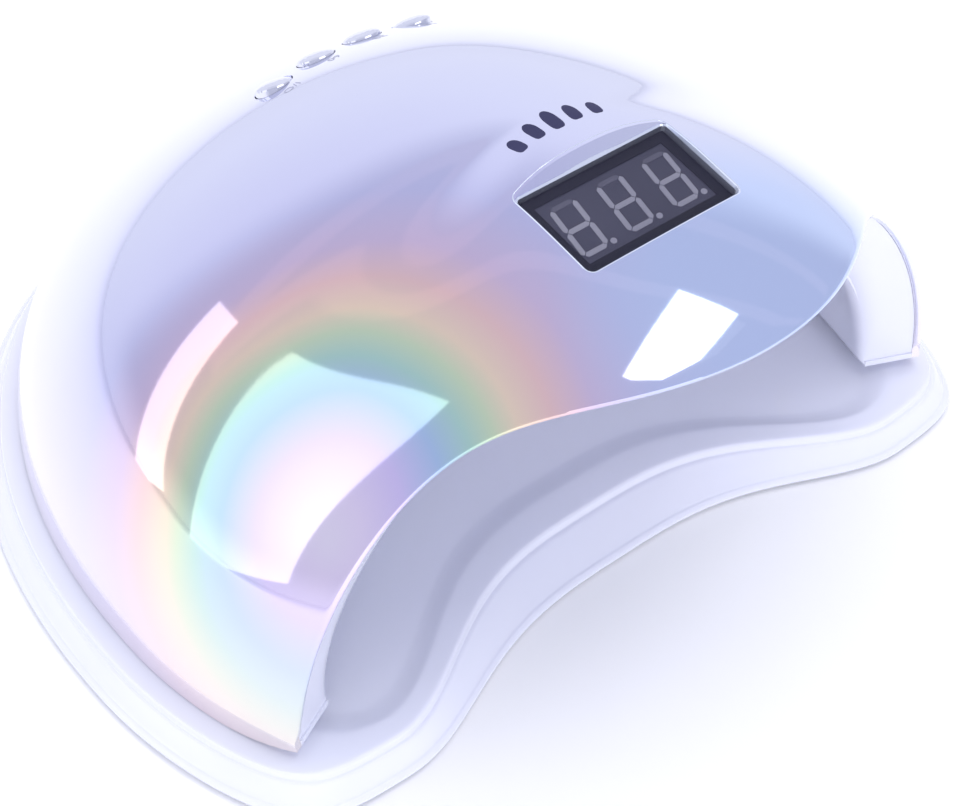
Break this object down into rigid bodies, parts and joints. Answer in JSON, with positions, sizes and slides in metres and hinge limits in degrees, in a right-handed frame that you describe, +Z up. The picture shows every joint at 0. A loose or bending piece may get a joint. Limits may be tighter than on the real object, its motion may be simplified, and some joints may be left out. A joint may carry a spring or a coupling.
{
  "type": "nail curing lamp",
  "caption": "Helmet-shaped pearl nail curing lamp with an arched hand opening, a digital display, four round keys and a detachable base tray.",
  "frame": {"origin": "on the standing surface, below the centre of the lamp's bounding box", "axes": "+X to the right when facing the arch, -Y out of the arch towards the user, +Z up"},
  "size_m": [0.235, 0.2179, 0.1107],
  "materials": {
    "white_plastic": "gloss",
    "pearl_cover": "pearl mirror coat",
    "pearl_bezel": "pearl mirror coat",
    "foot_rubber": "matt",
    "magnet_steel": "nickel plate",
    "screw_steel": "plain",
    "window_black": "gloss",
    "module_grey": "satin",
    "segment_grey": "satin",
    "board_green": "solder mask",
    "key_chrome": "mirror coat",
    "part_black": "satin",
    "pad_white": "white mask",
    "lens_amber": "clear dome",
    "lead_red": "satin",
    "lead_black": "satin",
    "lead_grey": "satin",
    "contact_brass": "bright"
  },
  "bodies": {
    "base": {"base_tray": "white_plastic", "base_feet": "foot_rubber", "base_magnets": "magnet_steel"},
    "head": {"outer_cover": "pearl_cover", "inner_reflector": "white_plastic", "housing_magnets": "magnet_steel", "housing_screws": "screw_steel", "display_bezel": "pearl_bezel", "display_window": "window_black", "display_module": "module_grey", "display_segments": "segment_grey", "display_board": "board_green", "key_switches": "part_black", "control_board": "board_green", "control_chips": "part_black", "board_screws": "screw_steel", "led_pads": "pad_white", "led_lenses": "lens_amber", "led_leads": "lead_red", "presence_sensors": "part_black", "dc_jack_body": "part_black", "dc_jack_pin": "contact_brass", "dc_jack_contact": "contact_brass", "power_lead": "lead_black", "display_lead": "lead_grey"},
    "power_key": {"key_power": "key_chrome"},
    "low_key": {"key_low": "key_chrome"},
    "mid_key": {"key_mid": "key_chrome"},
    "high_key": {"key_high": "key_chrome"}
  },
  "joints": [
    {"name": "head_lift", "type": "slide", "parent": "base", "child": "head", "axis": [0, 0, 1], "range_m": [0, 0.12]},
    {"name": "power_press", "type": "slide", "parent": "head", "child": "power_key", "axis": [0, -0.5163, -0.8564], "range_m": [0, 0.0008], "stiffness_N_per_m": 300, "springref_m": -0.001},
    {"name": "low_press", "type": "slide", "parent": "head", "child": "low_key", "axis": [0, -0.5163, -0.8564], "range_m": [0, 0.0008], "stiffness_N_per_m": 300, "springref_m": -0.001},
    {"name": "mid_press", "type": "slide", "parent": "head", "child": "mid_key", "axis": [0, -0.5163, -0.8564], "range_m": [0, 0.0008], "stiffness_N_per_m": 300, "springref_m": -0.001},
    {"name": "high_press", "type": "slide", "parent": "head", "child": "high_key", "axis": [0, -0.5163, -0.8564], "range_m": [0, 0.0008], "stiffness_N_per_m": 300, "springref_m": -0.001}
  ]
}
